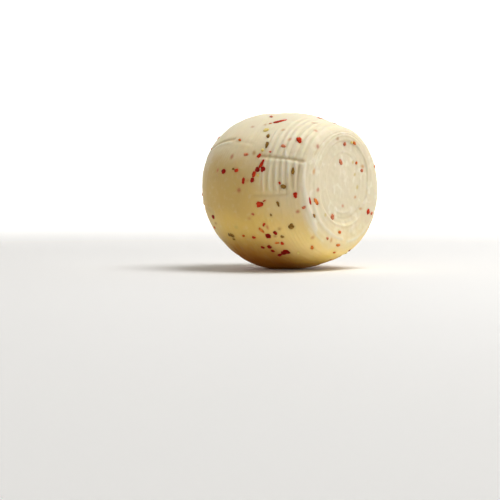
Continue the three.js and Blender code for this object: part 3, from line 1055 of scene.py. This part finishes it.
# %% The chilli finishes
CHILLI_COLOURS = {
    # the dark and the light colour of each kind
    "dark": ((0.18, 0.003, 0.001), (0.38, 0.012, 0.004)),
    "bright": ((0.38, 0.014, 0.003), (0.64, 0.05, 0.01)),
    "veiled": ((0.5, 0.12, 0.05), (0.68, 0.24, 0.12)),
    "orange": ((0.56, 0.1, 0.012), (0.78, 0.24, 0.05)),
    "brown": ((0.15, 0.07, 0.01), (0.34, 0.18, 0.035)),
    "seed": ((0.74, 0.54, 0.14), (0.86, 0.7, 0.26)),
}


def chilli_finish(kind):
    material, nodes = new_finish(f"{kind} chilli")
    place = nodes.add("ShaderNodeTexCoord", output="Object")
    blotch = texture(nodes, place, 420.0, 2.0)
    wrinkle = texture(nodes, place, 1500.0, 2.0)
    colour = nodes.mix(blotch.step(0.35, 0.65), *CHILLI_COLOURS[kind])
    normal = nodes.add("ShaderNodeBump", None,
                       {"Strength": 0.5, "Distance": 0.0002, "Height": wrinkle})
    shader = nodes.add("ShaderNodeBsdfPrincipled", None, {
        "Base Color": colour, "Roughness": 0.5 + wrinkle * 0.2, "Normal": normal,
        "Specular IOR Level": 0.08})
    nodes.add("ShaderNodeOutputMaterial", None, {"Surface": shader})
    return material


cheese.data.materials.append(cheese_finish())
print(len(cheese.data.materials[0].node_tree.nodes), "nodes in the skin's finish")

# %% The flake pieces
CHIP_THICKNESS = 0.8
CRINKLE = 0.0004
CRINKLE_SCALE = 420.0


def place_object(kind):
    """A mesh of bare points, one for each flake of this kind, with its turn and size."""
    chosen = [flake for flake in flakes if flake[-1] == kind]
    points, spins, halves = [], [], []
    for path, turn, length, width, lean, _ in chosen:
        point, length_way, width_way, out = place_frame(path, turn, lean)
        points.append(placed(point))
        basis = Matrix((length_way, width_way, out)).transposed()
        spins.append(basis.to_euler())
        halves.append((length * MM / 2, width * MM / 2, MM))
    piece = mesh_object(f"chilli_{kind}", points, [])
    for name, values in (("spin", spins), ("half size", halves)):
        data = piece.data.attributes.new(name, "FLOAT_VECTOR", "POINT").data
        data.foreach_set("vector", np.array([tuple(value) for value in values], np.float32).ravel())
    shapes = piece.data.attributes.new("shape", "INT", "POINT").data
    shapes.foreach_set("value", [number % CHIP_SHAPES for number in range(len(chosen))])
    return piece


def add_tree(piece, tree, values):
    modifier = piece.modifiers.new("flakes", "NODES")
    modifier.node_group = tree
    for item in tree.interface.items_tree:
        if item.in_out == "INPUT" and item.name in values:
            modifier[item.identifier] = values[item.name]


def made_real(piece):
    """Replaces the piece's mesh by what its modifiers make of it, and removes them."""
    graph = bpy.context.evaluated_depsgraph_get()
    mesh = bpy.data.meshes.new_from_object(piece.evaluated_get(graph))
    piece.modifiers.clear()
    piece.data = mesh
    mesh.shade_smooth()
    return piece


flake_pieces = []
for kind in CHILLI_COLOURS:
    piece = place_object(kind)
    add_tree(piece, SCATTER, {
        "Chips": chips, "Finish": chilli_finish(kind), "Thickness": CHIP_THICKNESS,
        "Crinkle": CRINKLE, "Crinkle Size": CRINKLE_SCALE})
    flake_pieces.append(made_real(piece))
    print(piece.name, len(piece.data.polygons), "faces")

# %% [markdown]
# ## The stage
#
# The cheese lies on a plain pale floor that curves up all round into the backdrop, so that no
# horizon shows from any side. A bowl does that with one lathed profile. In a studio the backdrop
# would have lamps of its own. Here its finish glows instead: not at all near the cheese, more
# farther away, and most behind it, where the photograph's background is pure white.

# %% The floor
FLOOR_RADIUS = 2.6
FLOOR_CURVE = 1.2
FLOOR_WALL = 1.0
FLOOR_SIDES = 96
FLOOR_RINGS = (0.0, 0.4, 1.0, FLOOR_RADIUS)
FLOOR_ARC_STEP = 6
FLOOR_DROP = 0.0002  # keeps the floor just clear of the cheese's flat underside


def floor_profile():
    profile = [(radius, 0.0) for radius in FLOOR_RINGS]
    for a in np.radians(np.arange(FLOOR_ARC_STEP, 91, FLOOR_ARC_STEP)):
        profile.append((FLOOR_RADIUS + FLOOR_CURVE * math.sin(a), FLOOR_CURVE * (1 - math.cos(a))))
    return profile + [(FLOOR_RADIUS + FLOOR_CURVE, FLOOR_CURVE + FLOOR_WALL)]


def floor_bowl():
    mesh = bmesh.new()
    previous = [mesh.verts.new((0, 0, 0))]
    for radius, height in floor_profile()[1:]:
        ring = [mesh.verts.new((radius * math.cos(a), radius * math.sin(a), height))
                for a in np.linspace(0, 2 * math.pi, FLOOR_SIDES, endpoint=False)]
        for i in range(FLOOR_SIDES):
            after = (i + 1) % FLOOR_SIDES
            if len(previous) == 1:
                mesh.faces.new((previous[0], ring[i], ring[after]))
            else:
                mesh.faces.new((previous[i], ring[i], ring[after], previous[after]))
        previous = ring
    data = bpy.data.meshes.new("floor")
    mesh.to_mesh(data)
    mesh.free()
    data.shade_smooth()
    floor = bpy.data.objects.new("floor", data)
    bpy.context.scene.collection.objects.link(floor)
    floor.location.z = -FLOOR_DROP
    return floor


floor = floor_bowl()
print("the floor has", len(floor.data.polygons), "faces")

# %% The glow of the backdrop
FLOOR_COLOUR = (0.87, 0.86, 0.84, 1)
NO_GLOW = (0.0, 0.0, 0.0)
FRONT_GLOW = (0.26, 0.257, 0.25)
BACK_GLOW = (0.82, 0.81, 0.79)
GLOW_REACH = (0.15, 1.6)
BACK_REACH = (0.0, 0.9)
BACK_WAY = (-0.6, 0.8, 0.0)


def floor_finish():
    material, nodes = new_finish("pale floor")
    place = nodes.add("ShaderNodeTexCoord", output="Object")
    away = nodes.add("ShaderNodeVectorMath", {"operation": "LENGTH"}, {"Vector": place}, "Value")
    behind = nodes.add("ShaderNodeVectorMath", {"operation": "DOT_PRODUCT"},
                       {"Vector": place, "Vector_001": BACK_WAY}, "Value")
    glow = nodes.mix(behind.step(*BACK_REACH), FRONT_GLOW, BACK_GLOW)
    glow = nodes.mix(away.step(*GLOW_REACH), NO_GLOW, glow)
    shader = nodes.add("ShaderNodeBsdfPrincipled", None, {
        "Base Color": FLOOR_COLOUR, "Roughness": 0.7, "Specular IOR Level": 0.2,
        "Emission Color": glow, "Emission Strength": 1.0})
    nodes.add("ShaderNodeOutputMaterial", None, {"Surface": shader})
    return material


floor.data.materials.append(floor_finish())

# %% [markdown]
# ## Camera
#
# The camera stands almost level with the cheese, a long step and a half away, and looks a little
# past it, so that the cheese sits in the frame where it does in the photograph. A long lens from
# there gives the photograph's flat perspective.

# %% The camera
CAMERA = {"azimuth": 36.5, "elevation": 0.975, "distance": 1.65, "focal_px": 2110}
FRAME_PX = 500
CHEESE_COLUMN_PX = 285.2
HORIZON_ROW_PX = 155
SENSOR_MM = 36
axis_middle = Vector((shift.x, shift.y, shift.z))


def around_cheese(azimuth, elevation, distance):
    a, e = math.radians(azimuth), math.radians(elevation)
    way = Vector((math.sin(a) * math.cos(e), -math.cos(a) * math.cos(e), math.sin(e)))
    return axis_middle + way * distance


camera_data = bpy.data.cameras.new("camera")
camera_data.sensor_width = SENSOR_MM
camera_data.lens = CAMERA["focal_px"] / FRAME_PX * SENSOR_MM
camera = bpy.data.objects.new("camera", camera_data)
camera.location = around_cheese(CAMERA["azimuth"], CAMERA["elevation"], CAMERA["distance"])
turned = math.atan((CHEESE_COLUMN_PX - FRAME_PX / 2) / CAMERA["focal_px"])
dipped = math.atan((FRAME_PX / 2 - HORIZON_ROW_PX) / CAMERA["focal_px"])
camera.rotation_euler = Euler((math.pi / 2 - dipped, 0, math.radians(CAMERA["azimuth"]) + turned))
bpy.context.scene.collection.objects.link(camera)
bpy.context.scene.camera = camera
print("lens", round(camera_data.lens, 1), "mm")

# %% [markdown]
# ## Light
#
# One large soft light stands high on the right, so the shown face and the top are bright and the
# side falls into shade. The glow of the backdrop and the pale floor fill the rest.

# %% The light
KEY = {"azimuth": 120, "elevation": 66, "distance": 1.4, "size": 0.9, "power": 19.8}
SKY_STRENGTH = 0.05

lamp_data = bpy.data.lights.new("key", "AREA")
lamp_data.size = KEY["size"]
lamp_data.energy = KEY["power"]
lamp = bpy.data.objects.new("key", lamp_data)
lamp.location = around_cheese(KEY["azimuth"], KEY["elevation"], KEY["distance"])
lamp.rotation_euler = (lamp.location - axis_middle).to_track_quat("Z", "Y").to_euler()
bpy.context.scene.collection.objects.link(lamp)

world = bpy.data.worlds.new("studio")
world.use_nodes = True
sky = world.node_tree.nodes["Background"]
sky.inputs["Color"].default_value = (1, 1, 1, 1)
sky.inputs["Strength"].default_value = SKY_STRENGTH
bpy.context.scene.world = world
bpy.context.scene.view_settings.view_transform = "Standard"
print("one light of", KEY["power"], "W")

# %% [markdown]
# ## Handing over
#
# Every piece rides on the one body of the cheese. The skin and the flakes together stand for the
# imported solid.

# %% Riding and replacing
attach(cheese, "root")
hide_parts(NODE)
for piece in flake_pieces:
    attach(piece, "root")
    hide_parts(NODE)
